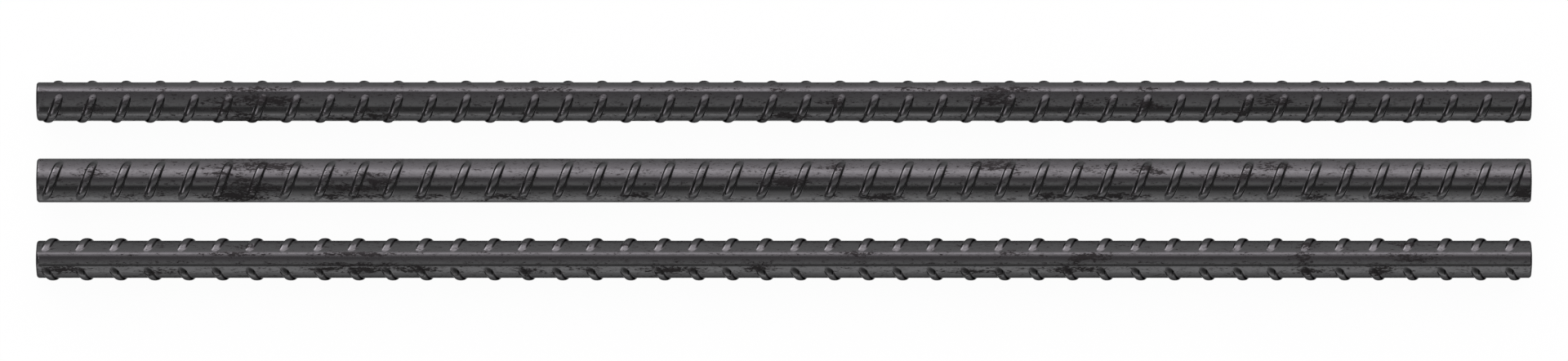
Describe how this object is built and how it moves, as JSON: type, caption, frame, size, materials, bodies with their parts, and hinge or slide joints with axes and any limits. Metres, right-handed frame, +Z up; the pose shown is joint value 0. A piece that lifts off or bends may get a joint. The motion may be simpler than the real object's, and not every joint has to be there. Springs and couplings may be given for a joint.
{
  "type": "loose rebar bundle",
  "caption": "Ribbed hot-rolled steel reinforcing bars, cut to one length and lying loose and parallel, side by side, for use in concrete.",
  "frame": {"origin": "on the floor, under the middle of the set of bars", "axes": "+X along the bars, +Y from the front bar to the rear bar, +Z up"},
  "size_m": [0.6, 0.0784, 0.0176],
  "materials": {
    "mill_scale_steel": "hot-rolled, dark grey mill scale with a satin sheen and scuffed dark flakes"
  },
  "bodies": {
    "root": {"rear_bar": "mill_scale_steel", "middle_bar": "mill_scale_steel", "front_bar": "mill_scale_steel"}
  },
  "joints": []
}
